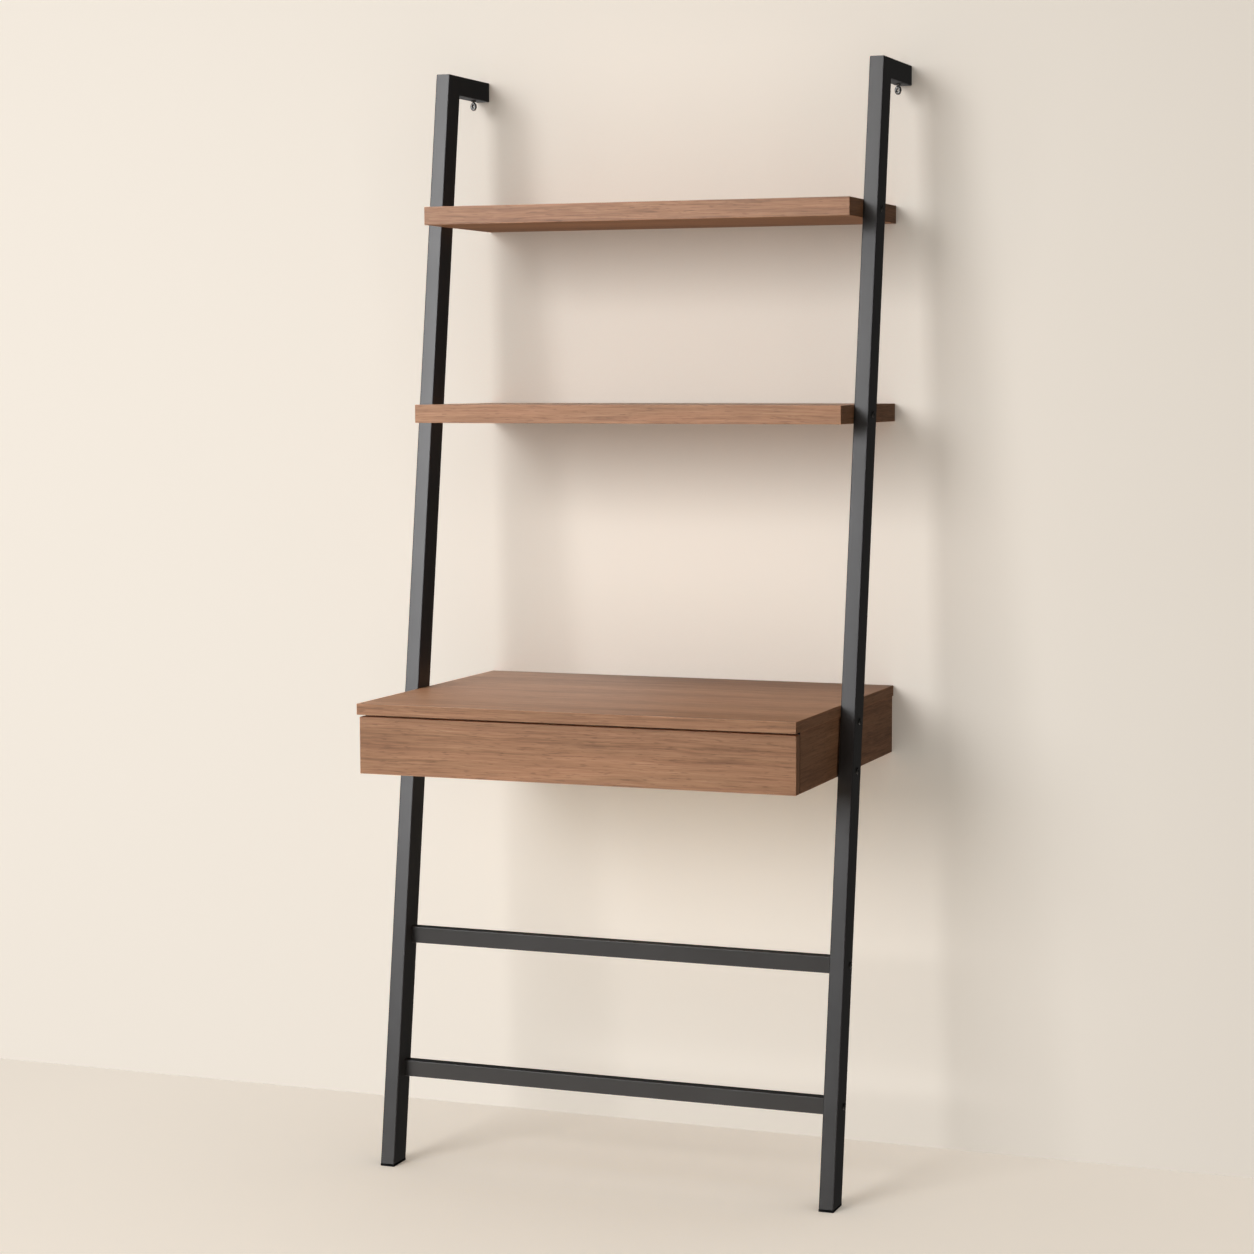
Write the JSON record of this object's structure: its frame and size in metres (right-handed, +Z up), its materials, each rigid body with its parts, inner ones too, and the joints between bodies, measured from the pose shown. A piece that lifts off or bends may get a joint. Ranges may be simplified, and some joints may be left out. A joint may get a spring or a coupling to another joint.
{
  "type": "ladder shelf",
  "caption": "Leaning wall-hooked ladder desk: black steel tube uprights, walnut shelves above a deep desk with a handleless drawer, and stretchers below.",
  "frame": {"origin": "on the floor, under the middle of the desk's width and depth", "axes": "+X right as seen from the front, +Y towards the wall, +Z up"},
  "size_m": [0.7954, 0.552, 1.829],
  "materials": {
    "frame_coat": "satin black powder coat",
    "walnut": "satin walnut veneer, grain across the width",
    "drawer_board": "matte pale birch ply",
    "zinc_steel": "bright zinc plate",
    "black_bolt": "black oxide",
    "brass_insert": "plain brass",
    "black_plastic": "moulded, matte",
    "black_nylon": "moulded nylon"
  },
  "bodies": {
    "frame": {"left_upright": "frame_coat", "left_foot_cap": "black_plastic", "left_wall_bracket": "zinc_steel", "left_lock_eye": "zinc_steel", "right_upright": "frame_coat", "right_foot_cap": "black_plastic", "right_wall_bracket": "zinc_steel", "right_lock_eye": "zinc_steel", "upper_stretcher": "frame_coat", "upper_stretcher_left_plug": "zinc_steel", "upper_stretcher_right_plug": "zinc_steel", "lower_stretcher": "frame_coat", "lower_stretcher_left_plug": "zinc_steel", "lower_stretcher_right_plug": "zinc_steel", "top_shelf": "walnut", "middle_shelf": "walnut", "desk_top": "walnut", "desk_left_side": "walnut", "desk_right_side": "walnut", "desk_back": "walnut", "desk_front_rail": "walnut", "top_shelf_left_bolt": "black_bolt", "top_shelf_right_bolt": "black_bolt", "middle_shelf_left_bolt": "black_bolt", "middle_shelf_right_bolt": "black_bolt", "upper_desk_left_bolt": "black_bolt", "upper_desk_right_bolt": "black_bolt", "lower_desk_left_bolt": "black_bolt", "lower_desk_right_bolt": "black_bolt", "upper_stretcher_left_bolt": "black_bolt", "upper_stretcher_right_bolt": "black_bolt", "lower_stretcher_left_bolt": "black_bolt", "lower_stretcher_right_bolt": "black_bolt", "top_shelf_left_insert": "brass_insert", "top_shelf_right_insert": "brass_insert", "middle_shelf_left_insert": "brass_insert", "middle_shelf_right_insert": "brass_insert", "upper_desk_left_insert": "brass_insert", "upper_desk_right_insert": "brass_insert", "lower_desk_left_insert": "brass_insert", "lower_desk_right_insert": "brass_insert", "upper_desk_left_washer": "black_nylon", "upper_desk_right_washer": "black_nylon", "lower_desk_left_washer": "black_nylon", "lower_desk_right_washer": "black_nylon", "left_slide_case_member": "zinc_steel", "right_slide_case_member": "zinc_steel"},
    "drawer": {"drawer_front": "walnut", "drawer_subfront": "drawer_board", "drawer_left_side": "drawer_board", "drawer_right_side": "drawer_board", "drawer_back": "drawer_board", "drawer_bottom": "drawer_board", "drawer_front_left_screw": "zinc_steel", "left_slide_drawer_member": "zinc_steel", "drawer_front_right_screw": "zinc_steel", "right_slide_drawer_member": "zinc_steel"},
    "left_slide_middle": {"left_slide_middle_member": "zinc_steel"},
    "right_slide_middle": {"right_slide_middle_member": "zinc_steel"}
  },
  "joints": [
    {"name": "drawer_slide", "type": "slide", "parent": "frame", "child": "drawer", "axis": [0, -1, 0], "range_m": [0, 0.4]},
    {"name": "left_slide_middle_travel", "type": "slide", "parent": "frame", "child": "left_slide_middle", "axis": [0, -1, 0], "range_m": [0, 0.2]},
    {"name": "right_slide_middle_travel", "type": "slide", "parent": "frame", "child": "right_slide_middle", "axis": [0, -1, 0], "range_m": [0, 0.2]}
  ],
  "couplings": [
    {"joint": "left_slide_middle_travel", "follows": "drawer_slide", "ratio": 0.5},
    {"joint": "right_slide_middle_travel", "follows": "drawer_slide", "ratio": 0.5}
  ]
}
